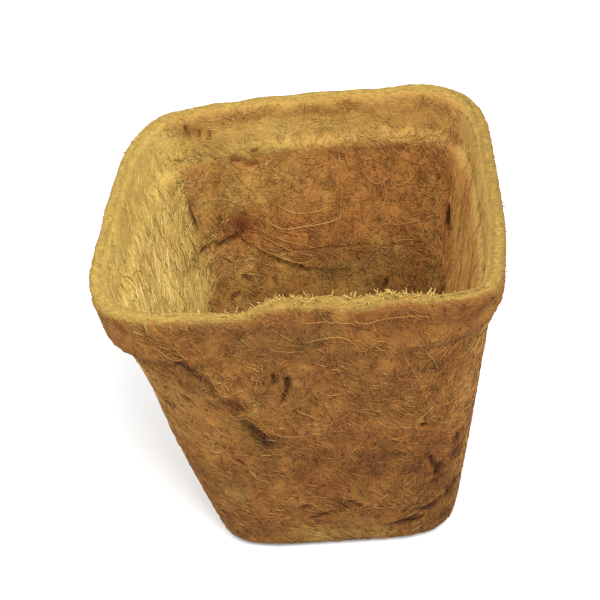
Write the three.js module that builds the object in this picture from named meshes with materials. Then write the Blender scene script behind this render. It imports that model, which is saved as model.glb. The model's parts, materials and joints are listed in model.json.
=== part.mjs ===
// Square coir plant pot, hot-pressed from five pieces of coir felt: a base blank turned up into a shallow cup,
// and four wall panels. The pieces are half-lapped, so the wall keeps one thickness across every joint.
// Millimetres, +Z up, the front wall faces -Y, and the origin is under the middle of the base.
import * as THREE from "three";

// Driving dimensions of the pressed shape, all outside sizes.
const rimWidth = 100; // across the middle of two opposite sides, at the top
const potHeight = 97.5;
const collarHeight = 12.5; // upright band below the rim
const collarTaper = 0.8; // how far each side of the collar leans in towards its lower end
const shoulderHeight = 4;
const shoulderStep = 1.8; // how far each side steps in below the collar
const baseWidth = 67.6; // where the wall lines meet the floor
const wallThickness = 3.5;

// Roundings of the pressed profile, each given on the face where the felt folds tightest.
const floorFold = 1.5; // inside, between floor and wall
const collarFold = 2.5; // inside, under the collar
const shoulderFold = 8; // outside, under the shoulder

// Squareness of the section: 2 is a circle, and larger values are squarer.
const rimSquareness = 4.7;
const bodySquareness = 3.9;
const baseSquareness = 5.2;

// Joints between the pieces of felt.
const bondGap = 0.3; // room for the latex film
const lapLength = 10; // overlap of one piece on the next
const cupFrontRise = 3; // straight wall of the base blank below its lap, at the front
const cupBackDrop = 21; // from the shoulder down to the base blank's edge, at the back
const seamTop = -32; // x of the front panel's left edge at the rim
const seamLow = -6; // and where it meets the base blank
const seamBulge = 0.6; // how far that edge bows towards the right

// Steps of the mesh.
const cupColumns = 72;
const wallColumns = 18;
const lapColumns = 4;

const floorMiddle = new THREE.Vector2(0, 0);
const baseCorner = new THREE.Vector2(baseWidth / 2, 0);
const rimTop = new THREE.Vector2(rimWidth / 2, potHeight);
const collarLow = new THREE.Vector2(rimTop.x - collarTaper, rimTop.y - collarHeight);
const bodyTop = new THREE.Vector2(collarLow.x - shoulderStep, collarLow.y - shoulderHeight);

// The arc that rounds a corner between two straight runs of the profile.
function cornerArc(before, corner, after, radius) {
  const into = corner.clone().sub(before).normalize();
  const onward = after.clone().sub(corner).normalize();
  const turn = Math.acos(into.dot(onward));
  const side = Math.sign(into.cross(onward));
  const start = corner.clone().addScaledVector(into, -radius * Math.tan(turn / 2));
  const centre = start.clone().addScaledVector(new THREE.Vector2(-into.y, into.x), side * radius);
  const from = Math.atan2(start.y - centre.y, start.x - centre.x);
  return new THREE.EllipseCurve(centre.x, centre.y, radius, radius, from, from + side * turn, side < 0);
}

// The outside profile at the middle of a wall, from the middle of the floor up to the rim.
const baseArc = cornerArc(floorMiddle, baseCorner, bodyTop, floorFold + wallThickness);
const shoulderArc = cornerArc(baseCorner, bodyTop, collarLow, shoulderFold);
const collarArc = cornerArc(bodyTop, collarLow, rimTop, collarFold + wallThickness);
const floorLine = new THREE.LineCurve(floorMiddle, baseArc.getPoint(0));
const wallLine = new THREE.LineCurve(baseArc.getPoint(1), shoulderArc.getPoint(0));
const collarLine = new THREE.LineCurve(collarArc.getPoint(1), rimTop);
const rimCut = { half: rimTop.x, z: rimTop.y, out: new THREE.Vector2(1, 0) };

// A station is one place on the profile: half width, height and the direction out of the felt.
function stationOn(curve, along) {
  const point = curve.getPoint(along);
  const tangent = curve.getTangent(along);
  return { half: point.x, z: point.y, out: new THREE.Vector2(tangent.y, -tangent.x) };
}

function wallAt(z) {
  return stationOn(wallLine, (z - wallLine.v1.y) / (wallLine.v2.y - wallLine.v1.y));
}

function stationsOn(curve, count) {
  return Array.from({ length: count }, (_, i) => {
    const station = stationOn(curve, (i + 1) / count);
    return () => station;
  });
}

const signedPower = (value, power) => Math.sign(value) * Math.abs(value) ** power;

function squarenessAt(z) {
  if (z < bodyTop.y) return THREE.MathUtils.mapLinear(z, 0, bodyTop.y, baseSquareness, bodySquareness);
  const blend = THREE.MathUtils.smoothstep(z, bodyTop.y, collarLow.y);
  return THREE.MathUtils.lerp(bodySquareness, rimSquareness, blend);
}

// A point of the pressed felt: an angle round the section, a station, and the depth below the outer face.
function mouldPoint(angle, station, depth) {
  const half = station.half - depth * station.out.x;
  const power = 2 / squarenessAt(station.z);
  const x = half * signedPower(Math.cos(angle), power);
  const y = half * signedPower(Math.sin(angle), power);
  return new THREE.Vector3(x, y, station.z - depth * station.out.y);
}

// The base blank's turned-up edge is level on the front and back walls and slopes along the sides.
const cupFront = wallLine.v1.y + cupFrontRise + lapLength;
const cupBack = bodyTop.y - cupBackDrop;

function cupEdge(angle) {
  const back = signedPower(Math.sin(angle), 2 / bodySquareness);
  return THREE.MathUtils.mapLinear(back, -1, 1, cupFront, cupBack);
}

// Millimetres along the outer face for one radian round the section.
function sectionSpeed(angle, station) {
  const step = 1e-3;
  const before = mouldPoint(angle - step, station, 0);
  return mouldPoint(angle + step, station, 0).distanceTo(before) / (2 * step);
}

// A seam gives the angles where the outer and the inner ply of two panels meet, moved on by a distance.
const corner = Math.PI / 4;
const lapAngle = lapLength / sectionSpeed(corner, wallAt(cupBack));

function cornerSeam(outerAngle, innerAngle) {
  const moved = (angle) => (station, shift) => angle + shift / sectionSpeed(angle, station);
  return { outer: moved(outerAngle), inner: moved(innerAngle) };
}

function frontSeam(turns) {
  const moved = (lap) => (station, shift) => {
    const down = (potHeight - station.z) / (potHeight - cupFront);
    const across = down + seamBulge * down * (1 - down);
    const x = THREE.MathUtils.lerp(seamTop, seamLow, across) + lap + shift;
    return 2 * Math.PI * turns - Math.acos(signedPower(x / station.half, squarenessAt(station.z) / 2));
  };
  return { outer: moved(0), inner: moved(lapLength) };
}

const backRight = cornerSeam(corner - lapAngle, corner);
const backLeft = cornerSeam(3 * corner + lapAngle, 3 * corner);
const frontRight = cornerSeam(-corner, -corner - lapAngle);

// Three layers of cells make the felt: the outer ply, the bond between the plies, and the inner ply.
const plyEdges = [0, (wallThickness - bondGap) / 2, (wallThickness + bondGap) / 2, wallThickness];
const outerPly = 0;
const innerPly = 2;
const layerCount = plyEdges.length - 1;

// The closed skin of the filled cells of a grid of columns, rows and layers. A closed grid runs all the way
// round, and its first row is the middle of the floor.
function feltSkin(columnCount, rowCount, closed, place, filled) {
  const numbers = new Map();
  const positions = [];
  const triangles = [];

  function vertex(column, row, layer) {
    const wrapped = closed ? column % columnCount : column;
    const key = closed && row === 0 ? `middle ${layer}` : `${wrapped} ${row} ${layer}`;
    if (!numbers.has(key)) {
      numbers.set(key, positions.length / 3);
      positions.push(...place(wrapped, row, layer).toArray());
    }
    return numbers.get(key);
  }

  function holds(column, row, layer) {
    const wrapped = closed ? (column + columnCount) % columnCount : column;
    if (wrapped < 0 || wrapped >= columnCount || row < 0 || row >= rowCount) return false;
    return layer >= 0 && layer < layerCount && filled(wrapped, row, layer);
  }

  function addTriangle(a, b, c) {
    if (a !== b && b !== c && c !== a) triangles.push(a, b, c);
  }

  function addFace(cell, axis, high) {
    const corners = [[0, 0], [1, 0], [1, 1], [0, 1]].map(([u, v]) => {
      const at = [...cell];
      at[axis] += high;
      at[(axis + 1) % 3] += u;
      at[(axis + 2) % 3] += v;
      return vertex(...at);
    });
    if (high) corners.reverse();
    addTriangle(corners[0], corners[1], corners[2]);
    addTriangle(corners[0], corners[2], corners[3]);
  }

  for (let column = 0; column < columnCount; column++) {
    for (let row = 0; row < rowCount; row++) {
      for (let layer = 0; layer < layerCount; layer++) {
        const cell = [column, row, layer];
        if (!holds(...cell)) continue;
        for (let axis = 0; axis < 3; axis++) {
          for (const high of [0, 1]) {
            const next = [...cell];
            next[axis] += high ? 1 : -1;
            if (!holds(...next)) addFace(cell, axis, high);
          }
        }
      }
    }
  }
  const skin = new THREE.BufferGeometry();
  skin.setAttribute("position", new THREE.Float32BufferAttribute(positions, 3));
  skin.setIndex(triangles);
  skin.computeVertexNormals();
  return skin;
}

const group = new THREE.Group();

function addPiece(name, colour, skin) {
  const felt = new THREE.MeshStandardMaterial({ name: "coir_felt", color: colour, roughness: 0.95 });
  const piece = new THREE.Mesh(skin, felt);
  piece.name = name;
  group.add(piece);
}

// Base blank: floor, rounded edge and turned-up wall, whose top carries only the outer ply.
const cupRows = [
  () => stationOn(floorLine, 0),
  ...stationsOn(floorLine, 2),
  ...stationsOn(baseArc, 5),
  (angle) => wallAt(cupEdge(angle) - lapLength - bondGap / 2),
  (angle) => wallAt(cupEdge(angle) - bondGap / 2),
];
const cupLapRow = cupRows.length - 2;

function placeCup(column, row, layer) {
  const angle = (2 * Math.PI * column) / cupColumns;
  return mouldPoint(angle, cupRows[row](angle), plyEdges[layer]);
}

const cupFilled = (column, row, layer) => row < cupLapRow || layer === outerPly;
addPiece("base_blank", "#82572f", feltSkin(cupColumns, cupRows.length - 1, true, placeCup, cupFilled));

// Wall panels: the inner ply starts inside the cup, and the full felt runs from the cup's edge up to the rim.
const panelFoot = (angle) => cupEdge(angle) + bondGap / 2;
const upWall = (share) => (angle) => wallAt(THREE.MathUtils.lerp(panelFoot(angle), wallLine.v2.y, share));
const panelRows = [
  (angle) => wallAt(panelFoot(angle) - lapLength),
  ...[0, 0.25, 0.5, 0.75, 1].map(upWall),
  ...stationsOn(shoulderArc, 3),
  () => stationOn(collarArc, 0),
  ...stationsOn(collarArc, 3),
  () => stationOn(collarLine, 0.5),
  () => rimCut,
];

// A panel runs anticlockwise between two seams. The wide ply is the one that reaches over the neighbours.
function addPanel(name, colour, start, end, widePly) {
  const [wide, narrow] = widePly === outerPly ? ["outer", "inner"] : ["inner", "outer"];
  const columnCount = wallColumns + 2 * lapColumns;
  const onLap = (column) => column < lapColumns || column >= columnCount - lapColumns;

  function columnAngle(column, row) {
    const onFront = panelRows[row](-Math.PI / 2);
    const stops = [
      start[wide](onFront, bondGap / 2),
      start[narrow](onFront, bondGap / 2),
      end[narrow](onFront, -bondGap / 2),
      end[wide](onFront, -bondGap / 2),
    ];
    const { lerp } = THREE.MathUtils;
    if (column < lapColumns) return lerp(stops[0], stops[1], column / lapColumns);
    const past = column - lapColumns;
    if (past <= wallColumns) return lerp(stops[1], stops[2], past / wallColumns);
    return lerp(stops[2], stops[3], (past - wallColumns) / lapColumns);
  }

  function place(column, row, layer) {
    const angle = columnAngle(column, row);
    return mouldPoint(angle, panelRows[row](angle), plyEdges[layer]);
  }

  function filled(column, row, layer) {
    if (onLap(column) && layer !== widePly) return false;
    return row > 0 || layer === innerPly;
  }

  addPiece(name, colour, feltSkin(columnCount, panelRows.length - 1, false, place, filled));
}

addPanel("front_panel", "#8e5f33", frontSeam(0), frontRight, outerPly);
addPanel("right_panel", "#a8783f", frontRight, backRight, innerPly);
addPanel("back_panel", "#966532", backRight, backLeft, outerPly);
addPanel("left_panel", "#b98f4c", backLeft, frontSeam(1), innerPly);

export default group;
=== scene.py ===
# Coir plant pot: a felt body in place of each packed panel, mats of coir fibre on every face,
# a fringe on the cut rim and the long stray strands.
import json
import math
import bpy
import numpy as np
from mathutils import Matrix, Vector
from mathutils.bvhtree import BVHTree


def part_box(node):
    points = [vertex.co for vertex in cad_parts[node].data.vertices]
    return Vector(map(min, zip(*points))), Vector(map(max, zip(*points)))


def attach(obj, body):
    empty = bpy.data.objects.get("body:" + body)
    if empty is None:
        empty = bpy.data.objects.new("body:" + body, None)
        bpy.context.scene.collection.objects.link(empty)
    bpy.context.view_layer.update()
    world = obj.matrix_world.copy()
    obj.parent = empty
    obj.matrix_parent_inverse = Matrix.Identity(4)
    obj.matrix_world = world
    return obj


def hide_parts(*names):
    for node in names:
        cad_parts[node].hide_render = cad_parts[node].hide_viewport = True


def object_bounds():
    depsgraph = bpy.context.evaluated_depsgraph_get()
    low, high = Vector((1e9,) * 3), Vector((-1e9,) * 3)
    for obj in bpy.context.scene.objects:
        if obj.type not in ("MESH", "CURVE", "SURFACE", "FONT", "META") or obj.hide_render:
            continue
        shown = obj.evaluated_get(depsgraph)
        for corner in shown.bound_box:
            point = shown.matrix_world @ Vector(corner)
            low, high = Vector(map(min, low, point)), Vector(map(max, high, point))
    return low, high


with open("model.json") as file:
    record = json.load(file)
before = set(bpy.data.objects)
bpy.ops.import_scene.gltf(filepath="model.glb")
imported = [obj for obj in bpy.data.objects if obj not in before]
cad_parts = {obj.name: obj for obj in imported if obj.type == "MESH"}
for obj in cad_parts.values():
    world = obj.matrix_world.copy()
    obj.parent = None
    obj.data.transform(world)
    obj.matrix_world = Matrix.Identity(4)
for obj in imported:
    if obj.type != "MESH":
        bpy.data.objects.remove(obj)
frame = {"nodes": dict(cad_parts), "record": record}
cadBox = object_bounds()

mm = 0.001
dice = np.random.default_rng(11)
nodeNames = sorted(frame["nodes"])
slotOf = {part["node"]: part["material_slot"] for part in frame["record"]["subparts"]}
potHeight = cadBox[1][2]
bpy.context.scene.view_settings.view_transform = "Standard"


def deselectAll():
    bpy.ops.object.select_all(action="DESELECT")


def makeActive(piece):
    deselectAll()
    piece.select_set(True)
    bpy.context.view_layer.objects.active = piece


def applyModifier(piece, modifier):
    makeActive(piece)
    bpy.ops.object.modifier_apply(modifier=modifier.name)


def tint(red, green, blue):  # screen colour 0 to 255, as the linear colour that nodes take
    shares = [value / 255 for value in (red, green, blue)]
    return tuple(s / 12.92 if s < 0.04045 else ((s + 0.055) / 1.055) ** 2.4 for s in shares) + (1.0,)


def fade(value, start, end):  # 0 before start, 1 after end, smooth between
    share = np.clip((value - start) / (end - start), 0, 1)
    return share * share * (3 - 2 * share)


def unit(vectors):
    return vectors / np.linalg.norm(vectors, axis=-1, keepdims=True)


# Chart of the walls: distance of each face from the upright axis, by angle and height
chart = {
    "angles": 240, "rows": 150, "outerLow": 0.8 * mm, "innerLow": 4.6 * mm, "top": potHeight - 0.3 * mm,
    "overRim": {"outer": 1.3 * mm, "inner": 2.2 * mm},  # how far each face is followed over the cut rim
    "slopeTurn": 0.012, "slopeRise": 0.7 * mm,  # turn and rise over which slopes are taken
}


def packedTree():
    corners, faces, owners = [], [], []
    for index, name in enumerate(nodeNames):
        mesh = frame["nodes"][name].data
        start = len(corners)
        corners.extend(vertex.co.copy() for vertex in mesh.vertices)
        faces.extend([start + v for v in face.vertices] for face in mesh.polygons)
        owners.extend([index] * len(mesh.polygons))
    return BVHTree.FromPolygons(corners, faces), owners


def chartSide(side, tree, owners):
    angles = -math.pi + 2 * math.pi * np.arange(chart["angles"]) / chart["angles"]
    heights = np.linspace(chart[side + "Low"], chart["top"], chart["rows"])
    radius = np.zeros((len(angles), len(heights)))
    owner = np.zeros((len(angles), len(heights)), int)
    for i, angle in enumerate(angles):
        outward = Vector((math.cos(angle), math.sin(angle), 0))
        for j, height in enumerate(heights):
            start = Vector((0, 0, height))
            if side == "outer":
                hit = tree.ray_cast(start + outward, -outward)
            else:
                hit = tree.ray_cast(start, outward)
            radius[i, j] = Vector(hit[0][:2]).length
            owner[i, j] = owners[hit[2]]
    # a ray that slips into the gap of a joint goes too deep, so each place takes the middle of three
    radius = np.median([np.roll(radius, 1, 0), radius, np.roll(radius, -1, 0)], axis=0)
    return {"heights": heights, "radius": radius, "owner": owner, "outward": 1 if side == "outer" else -1}


packedSkin, packedOwners = packedTree()
walls = {side: chartSide(side, packedSkin, packedOwners) for side in ("outer", "inner")}
print("charted both faces of the walls")


def chartPlace(side, angle, height):
    wall = walls[side]
    column = (angle + math.pi) / (2 * math.pi) * chart["angles"]
    low, high = wall["heights"][0], wall["heights"][-1]
    last = chart["rows"] - 1.001  # a little short of the last row, which has no row over it
    row = np.clip((height - low) / (high - low) * (chart["rows"] - 1), 0, last)
    return column, row


def wallRadius(side, angle, height):
    column, row = chartPlace(side, angle, height)
    left, below = np.floor(column).astype(int), np.floor(row).astype(int)
    across, up = column - left, row - below
    table = walls[side]["radius"]
    left, right = left % chart["angles"], (left + 1) % chart["angles"]
    lower = table[left, below] * (1 - across) + table[right, below] * across
    upper = table[left, below + 1] * (1 - across) + table[right, below + 1] * across
    return lower * (1 - up) + upper * up


def wallPoint(side, angle, height):
    past = np.maximum(height - chart["top"], 0)  # over the rim a path turns in across the cut edge
    radius = wallRadius(side, angle, height) - walls[side]["outward"] * past
    return np.stack([radius * np.cos(angle), radius * np.sin(angle), height - past], -1)


def wallEnds(side):
    return walls[side]["heights"][0], chart["top"] + chart["overRim"][side]


def wallOwner(side, angle, height):
    column, row = chartPlace(side, angle, height)
    return walls[side]["owner"][np.round(column).astype(int) % chart["angles"], np.round(row).astype(int)]


def wallSlopes(side, angle, height):  # along the wall, up the wall, and out of it
    turn, rise = chart["slopeTurn"], chart["slopeRise"]
    along = (wallPoint(side, angle + turn, height) - wallPoint(side, angle - turn, height)) / (2 * turn)
    up = (wallPoint(side, angle, height + rise) - wallPoint(side, angle, height - rise)) / (2 * rise)
    out = unit(np.cross(along, up)) * walls[side]["outward"]
    return along, up, out


def angleOf(places):
    return np.arctan2(places[..., 1], places[..., 0])


def byAngle(rows, angle):  # value at each angle, from rows of degrees and values
    degrees, values = np.array(rows).T
    return np.interp(np.degrees(angle), degrees, values)


def wallSpot(angle, height):  # one place, from degrees and mm
    return math.radians(angle) * np.ones(1), height * mm * np.ones(1)


def patchWeight(side, places, angle, height, wide, tall):  # 1 in the middle of a patch, less around it
    apart = places - wallPoint(side, *wallSpot(angle, height))[0]
    level = (apart[..., 0] ** 2 + apart[..., 1] ** 2) / (wide * mm) ** 2
    return np.exp(-level - (apart[..., 2] / (tall * mm)) ** 2)


# Tone of the coir: shade runs from dark (0) to pale (1), hue from russet (0) by brown (0.5) to gold (1)
# Part of these shades is painted light: the left panel's outer face and the right panel's inner face, which
# the lamps light less, are painted paler
coirTone = {
    "outer": {"base_blank": (0.49, 0.48), "front_panel": (0.52, 0.44), "back_panel": (0.51, 0.50),
              "left_panel": (0.55, 0.46), "right_panel": (0.50, 0.52)},
    "inner": {"base_blank": (0.46, 0.62), "front_panel": (0.50, 0.60), "back_panel": (0.53, 0.52),
              "left_panel": (0.565, 1.00), "right_panel": (0.70, 0.55)},
    # the cut rim faces up to the lamps, so its shade is painted darker than the walls: painted shade
    "rim": {"base_blank": (0.40, 0.80), "front_panel": (0.315, 0.89), "back_panel": (0.325, 0.98),
            "left_panel": (0.34, 1.00), "right_panel": (0.31, 0.92)},
    "collarInside": {"start": 80.5 * mm, "end": 84.5 * mm, "shade": 0.55, "hue": 0.76, "calm": 0.6},
    # degrees and mm over which the tones of two panels run together
    "blend": [(-6, 0), (-3, 0), (0, -5), (0, -2), (0, 0), (0, 2), (0, 5), (3, 0), (6, 0)],
    "blotches": {"size": 5 * mm, "shade": 0.04, "hue": 0.055},
    "specks": {"size": 1.3 * mm, "shade": 0.045, "hue": 0.04},
}
# places that stand out from the felt round them: angle, height, width and height of the patch, shade, hue
tonePatches = {
    "outer": [
        (-124, 92, 9, 5, -0.04, 0.04),  # dull end of the front collar
        (-132, 68, 14, 14, 0.20, 0.02),  # painted light round the front left corner, where the collar shades the felt
        # painted light where the raised edge of the front lap shades the felt
        (-122, 79, 5, 4, 0.10, 0.0),
        (-115, 72, 6, 6, 0.06, 0.04),
        (-113, 82, 10, 8, 0.0, 0.10),
        (-124, 36, 8, 9, -0.11, 0.0),
        (-112, 18, 8, 6, 0.06, 0.0),
        (-96, 88.5, 6, 3.5, -0.13, 0.0),
        (-99, 66, 5, 8, 0.06, 0.0),
        (-84, 70, 5, 6, 0.05, 0.0),
        (-86, 52, 5, 6, 0.06, 0.0),
        (-62, 71, 7, 7, 0.08, 0.0),
        (-44, 76, 5, 6, 0.02, 0.10),
        (-98, 94, 6, 2, -0.08, -0.10),
        (-90, 90, 16, 4.5, -0.12, 0.06),  # darker under the front rim
        (-108, 88, 12, 5, -0.07, 0.05),
        (-100, 84, 14, 3, -0.06, 0.0),
        (-87, 82, 5, 4, -0.10, 0.0),
        (-83, 76, 4, 8, 0.06, 0.0),
        (-61, 37, 11, 10, -0.10, -0.10),
        (-51, 24, 6, 9, -0.20, 0.06),  # dark front right corner
        (-56, 44, 6, 8, -0.10, 0.0),
        (-48, 10, 6, 7, -0.13, 0.05),
        (-68, 16, 8, 4, -0.08, 0.0),
        (-54.6, 91, 6, 4, -0.09, 0.0),
        (-60, 91, 12, 4, -0.05, -0.06),  # dull right end of the front collar
        (-88, 31, 6, 3, -0.07, -0.15),
        (-108, 8, 13, 6, 0.05, 0.10),  # painted light along the foot, against the shade near the ground, and a yellower hue
        (-86, 6, 18, 4, -0.01, 0.12),
    ],
    "inner": [
        (120, 60.8, 3.6, 3.6, -0.22, -0.70),  # russet stain on the back wall
        (127.5, 93, 4.5, 3, -0.12, -0.20),  # dark place in the back left corner of the collar
        (135, 90, 4, 6, 0.0, 0.25),  # the left wall's gold runs on round that corner
        (132.5, 87.5, 4, 3.5, 0.03, 0.22),
        (124, 62, 7, 14, -0.01, 0.14),
        (125.5, 62.5, 4, 5, -0.10, -0.10),
        (120.6, 77.6, 5, 4, -0.07, 0.0),
        (125, 85.4, 5, 3, -0.07, 0.0),
        (107, 83.2, 9, 2.5, -0.08, 0.0),
        (123.6, 37.7, 6, 4, -0.08, 0.0),
        (79.5, 42.5, 7, 4, -0.09, 0.0),
        (43.4, 83, 4, 4, -0.10, -0.10),
        (27, 83, 8, 6, -0.05, 0.0),
        (100, 55, 16, 5, -0.01, -0.20),  # russet band over the lower edge of the back panel
        (97, 48, 8, 2.6, 0.02, -0.14),
        (80, 48, 9, 3.0, 0.01, -0.12),
        (110, 74, 13, 8, 0.05, 0.16),  # yellower upper left, and painted light where the back wall is lit brighter
        (131, 68, 5, 9, -0.11, 0.0),  # duller towards the corner
        (60, 70, 10, 10, -0.02, -0.12),
        (54, 48, 9, 7, 0.06, -0.04),
        (82, 42, 7, 4, -0.12, 0.0),
        (112, 95, 10, 2, -0.07, -0.15),  # painted shade and a browner hue in a band along the top of the collar, under the rim
        (95, 94.8, 10, 1.8, -0.07, -0.13),
        (77, 94.4, 9, 1.8, -0.07, -0.13),
        (46, 94, 8, 4.5, 0.0, -0.16),  # brown back right corner of the collar
        (62, 92, 13, 5, -0.03, -0.10),
        (40, 76, 4, 12, -0.10, -0.12),  # the back wall's brown runs on round that corner
        (38, 56, 4, 14, -0.10, -0.12),
        (104, 88, 16, 2.2, 0.02, 0.06),  # painted light on the pale band over the ledge; on the ledge itself, which faces up to the lamps, painted shade and a golden hue
        (112, 84, 18, 2.6, -0.14, 0.14),
        (122, 84.5, 11, 2.6, -0.09, 0.0),
        # painted shade on the back right end of the ledge, where the lamps light it
        (50, 86, 5, 4, -0.08, 0.0),
        (160, 77, 9, 11, -0.10, 0.0),  # dull places on the left wall
        (153, 61, 6, 7, -0.05, 0.0),
        (142, 73, 2.5, 9, -0.07, -0.08),
        (140, 58, 6, 10, -0.10, -0.06),  # duller towards the back corner
    ],
}


# Waves whose sum makes soft blotches
waveCount = 16
waveTurns = dice.normal(size=(waveCount, 3))
waveStarts = dice.uniform(0, 2 * math.pi, (3, waveCount))


def mottle(places, size, which):  # soft blotches of that size, about -1 to 1
    waves = np.sin(places @ waveTurns.T / size + waveStarts[which])
    return waves.sum(-1) / math.sqrt(waveCount)


def panelTone(side, tones, angle, height):  # shade and hue of the panels, run together over their joints
    table = np.array([tones[name] for name in nodeNames])
    near = []
    for turn, rise in coirTone["blend"]:
        near.append(table[wallOwner(side, angle + math.radians(turn), height + rise * mm)])
    flat = np.mean(near, axis=0)
    return flat[..., 0], flat[..., 1]


def toneAt(side, places):
    shade, hue = panelTone(side, coirTone[side], angleOf(places), places[..., 2])
    calm = 1
    if side == "inner":
        collar = coirTone["collarInside"]
        share = fade(places[..., 2], collar["start"], collar["end"])
        shade = shade + share * (np.maximum(collar["shade"], shade) - shade)
        hue = hue + share * (np.maximum(collar["hue"], hue) - hue)
        calm = 1 - collar["calm"] * share
    for angle, height, wide, tall, moreShade, moreHue in tonePatches[side]:
        weight = patchWeight(side, places, angle, height, wide, tall)
        shade = shade + moreShade * weight
        hue = hue + moreHue * weight
    for grain in (coirTone["blotches"], coirTone["specks"]):
        shade = shade + calm * grain["shade"] * mottle(places, grain["size"], 0)
        hue = hue + calm * grain["hue"] * mottle(places, grain["size"], 1)
    return shade, hue


# Gold of the cut edge: how much of the wall's thickness it takes, from the inside, at each angle
rimGold = {
    "share": [(-180, 1.2), (-142, 1.2), (-128, 1.06), (-105, 1.04), (-95, 1.2), (-80, 1.25), (-66, 1.15),
              (-52, 1.0), (-40, 1.05), (-25, 1.25), (180, 1.25)],
    # brown: painted shade on the part of the cut edge that is not gold, where the lamps light its top
    "thickness": 3.5 * mm, "inner": 0.3 * mm, "fade": 1.2 * mm, "spread": 0.4 * mm, "brown": -0.02,
}
rimTurn = {"outer": -0.5 * mm, "inner": 0.2 * mm}  # where the felt starts to turn up to the light


def goldShare(angle):
    return byAngle(rimGold["share"], angle)


def rimTone(side, angle, height, shade, hue):
    turnStart = chart["top"] + rimTurn[side]
    goldStart = np.full(np.shape(angle), chart["top"] + rimGold["inner"])
    if side == "outer":
        goldStart = chart["top"] + (1 - goldShare(angle)) * rimGold["thickness"]
    # painted shade: where the felt turns up over the cut edge to face the lamps, its shade is painted down
    # to the rim's darker shade
    turned = fade(height, turnStart, turnStart + rimGold["fade"])
    golden = fade(height, goldStart, goldStart + rimGold["fade"])
    rimShade, rimHue = panelTone("inner", coirTone["rim"], angle, np.full(np.shape(angle), chart["top"]))
    rimShade = rimShade + rimGold["brown"] * (1 - golden)
    return shade + turned * (rimShade - shade), hue + golden * (rimHue - hue)


# Coir colours from dark to pale, for fibres and felt alike
coirPalette = {
    "russet": [(54, 25, 11), (98, 50, 24), (144, 84, 40), (184, 122, 66), (222, 174, 108)],
    "brown": [(60, 33, 14), (104, 64, 30), (150, 101, 48), (190, 138, 72), (228, 188, 116)],
    "gold": [(84, 60, 26), (135, 109, 51), (184, 154, 80), (216, 190, 109), (245, 224, 156)],
}


def addNode(tree, kind, inputs, **settings):  # each input takes a value or another node's output
    node = tree.nodes.new(kind)
    for key, setting in settings.items():
        setattr(node, key, setting)
    for key, given in inputs.items():
        if isinstance(given, bpy.types.NodeSocket):
            tree.links.new(given, node.inputs[key])
        else:
            node.inputs[key].default_value = given
    return node


def addRamp(tree, shade, colours):
    ramp = addNode(tree, "ShaderNodeValToRGB", {"Fac": shade})
    elements = ramp.color_ramp.elements
    while len(elements) < len(colours):
        elements.new(0.5)
    for index, (element, colour) in enumerate(zip(elements, colours)):
        element.position = index / (len(colours) - 1)
        element.color = tint(*colour)
    return ramp.outputs["Color"]


def paintShader(tree, colour):
    tree.links.new(colour, tree.nodes["Principled BSDF"].inputs["Base Color"])


def addPalette(tree, shade, hue):  # hue runs evenly through the palette's colours
    colours = [addRamp(tree, shade, row) for row in coirPalette.values()]
    colour = colours[0]
    step = 1 / (len(colours) - 1)
    for index in range(1, len(colours)):
        span = {"Value": hue, "From Min": step * (index - 1), "From Max": step * index}
        share = addNode(tree, "ShaderNodeMapRange", span)
        ends = {"Factor": share.outputs["Result"], "A": colour, "B": colours[index]}
        colour = addNode(tree, "ShaderNodeMix", ends, data_type="RGBA").outputs["Result"]
    paintShader(tree, colour)


def newFinish(name, values):
    material = bpy.data.materials.new(name)
    material.use_nodes = True
    shader = material.node_tree.nodes["Principled BSDF"]
    shader.inputs["Roughness"].default_value = values["roughness"]
    shader.inputs["Specular IOR Level"].default_value = values["gloss"]
    return material


# Fibre finish: a fibre's own map holds its shade and hue
fibreFinish = {"roughness": 0.65, "gloss": 0.25}


def makeFibreFinish():
    material = newFinish("coirFibre", fibreFinish)
    tree = material.node_tree
    ownMap = addNode(tree, "ShaderNodeUVMap", {}, uv_map="OFBake")
    parts = addNode(tree, "ShaderNodeSeparateXYZ", {0: ownMap.outputs["UV"]})
    addPalette(tree, parts.outputs["X"], parts.outputs["Y"])
    return material


# Felt finish: matted fibres too fine to lay one by one, as stretched noise lying three ways
feltFinish = {
    "lays": [((0.5, 0.3, 0.6), (500, 500, 2600)), ((-0.7, 0.4, -0.3), (2600, 2600, 420)),
             ((0.1, 0.2, 0.9), (600, 2400, 2400))],  # turn and stretch of each
    "detail": 3.0, "grainLow": 0.42, "grainHigh": 0.74, "shadeLow": -0.15, "shadeHigh": 0.10,
    "bump": 0.3 * mm, "bumpStrength": 0.7, "roughness": 0.92, "gloss": 0.15,
}


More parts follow.
